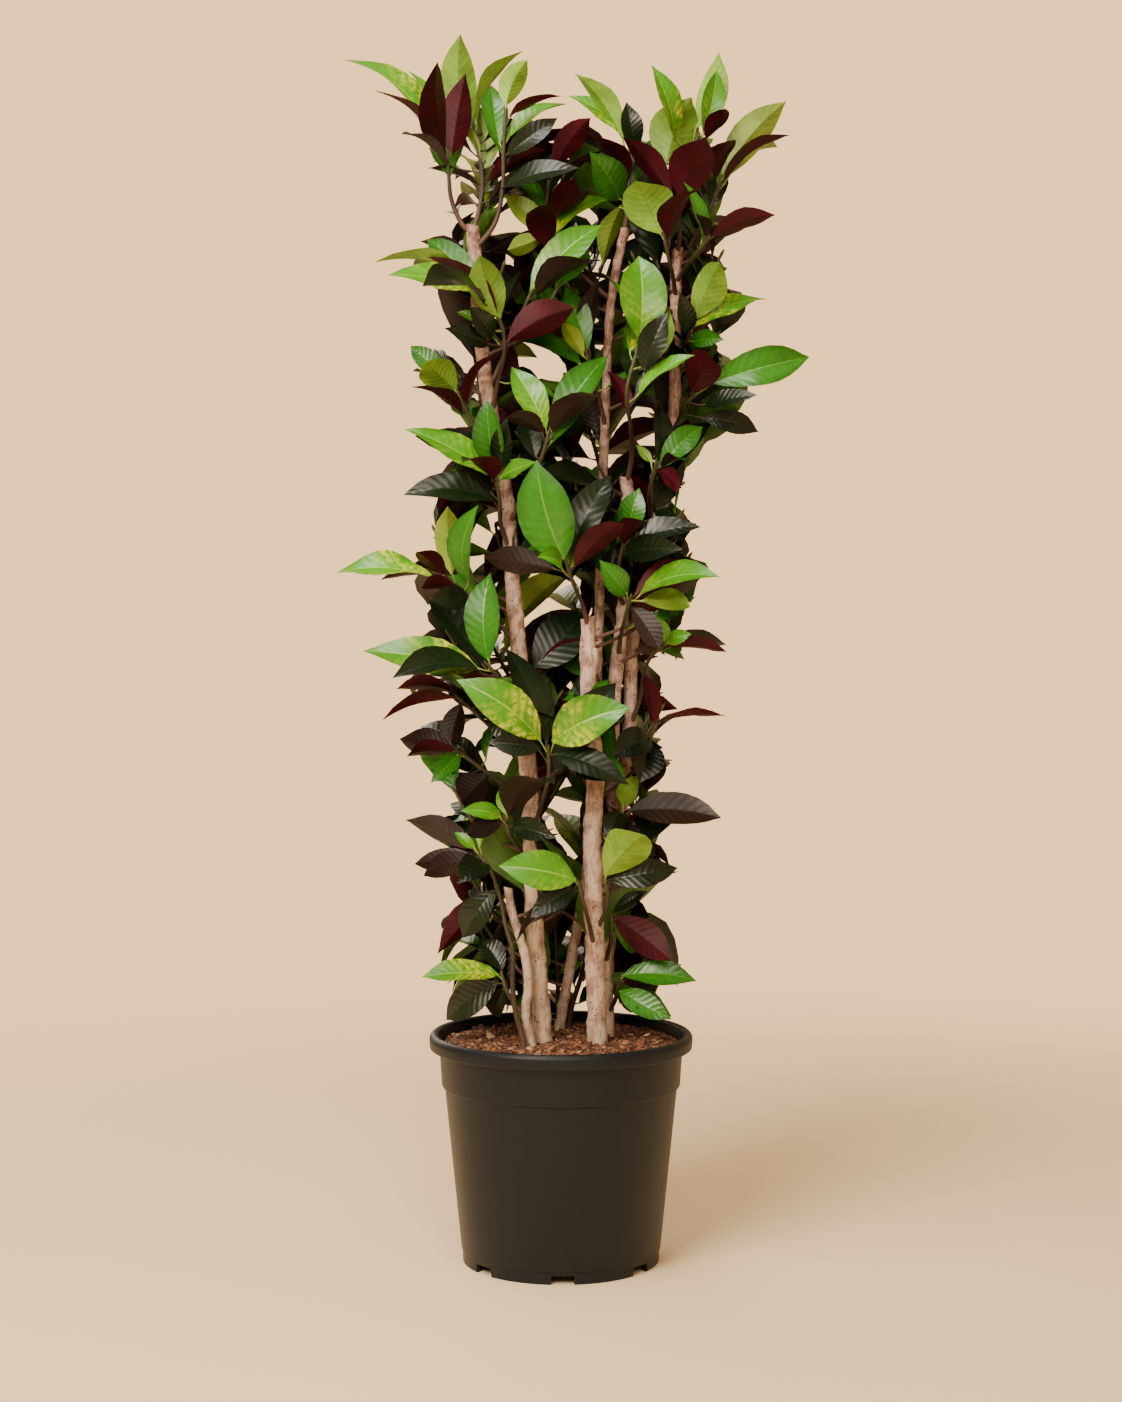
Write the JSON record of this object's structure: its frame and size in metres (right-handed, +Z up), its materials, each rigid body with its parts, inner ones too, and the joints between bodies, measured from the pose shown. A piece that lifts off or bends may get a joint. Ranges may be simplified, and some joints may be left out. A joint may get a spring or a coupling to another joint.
{
  "type": "potted croton",
  "caption": "Tall bushy croton with striped and dark glossy leaves on bare woody trunks, in a round tapered nursery pot with a rolled rim.",
  "frame": {"origin": "centre of the pot's underside, on the floor", "axes": "+Z up along the pot's axis, -Y towards the viewer of the picture, +X to the viewer's right"},
  "size_m": [0.57, 0.4513, 1.4829],
  "materials": {
    "leaf_fresh": "semi-gloss",
    "leaf_striped": "semi-gloss",
    "leaf_green": "glossy",
    "leaf_dark": "glossy",
    "leaf_wine": "satin",
    "bark": "matt, rough",
    "pot_plastic": "matt, lightly grained",
    "soil_bark": "matt, crumbly"
  },
  "bodies": {
    "root": {"pot": "pot_plastic", "soil": "soil_bark", "spray_back_crown": "leaf_green", "spray_back_foot": "leaf_wine", "spray_back_high_left": "leaf_green", "spray_back_high_right": "leaf_green", "spray_back_inner": "leaf_dark", "spray_back_left": "leaf_green", "spray_back_low": "leaf_green", "spray_back_middle": "leaf_wine", "spray_back_right": "leaf_green", "spray_back_top": "leaf_green", "spray_big_bright": "leaf_fresh", "spray_bright_pair": "leaf_dark", "spray_broad": "leaf_fresh", "spray_centre": "leaf_green", "spray_dark_broad": "leaf_dark", "spray_inner_top": "leaf_wine", "spray_left": "leaf_fresh", "spray_left_arm": "leaf_wine", "spray_left_dark": "leaf_wine", "spray_left_foot": "leaf_dark", "spray_left_low": "leaf_dark", "spray_left_lower": "leaf_dark", "spray_left_mid": "leaf_dark", "spray_left_pair": "leaf_fresh", "spray_low_bright": "leaf_fresh", "spray_low_centre": "leaf_dark", "spray_low_left": "leaf_green", "spray_low_olive": "leaf_dark", "spray_low_right": "leaf_green", "spray_middle": "leaf_fresh", "spray_olive": "leaf_fresh", "spray_right_arch": "leaf_dark", "spray_right_arm": "leaf_dark", "spray_right_low": "leaf_fresh", "spray_right_low_top": "leaf_dark", "spray_right_middle": "leaf_dark", "spray_right_shoulder": "leaf_green", "spray_right_side": "leaf_fresh", "spray_right_tip": "leaf_wine", "spray_right_upper": "leaf_fresh", "spray_right_wisp": "leaf_dark", "spray_rim_left": "leaf_dark", "spray_rim_right": "leaf_green", "spray_small_green": "leaf_green", "spray_top": "leaf_fresh", "spray_top_inner": "leaf_striped", "spray_top_left": "leaf_wine", "spray_top_middle": "leaf_fresh", "spray_top_right": "leaf_wine", "spray_yellow_pair": "leaf_dark", "trunk_a": "bark", "trunk_b": "bark", "trunk_c": "bark", "trunk_d": "bark", "trunk_e": "bark", "trunk_f": "bark"}
  },
  "joints": []
}
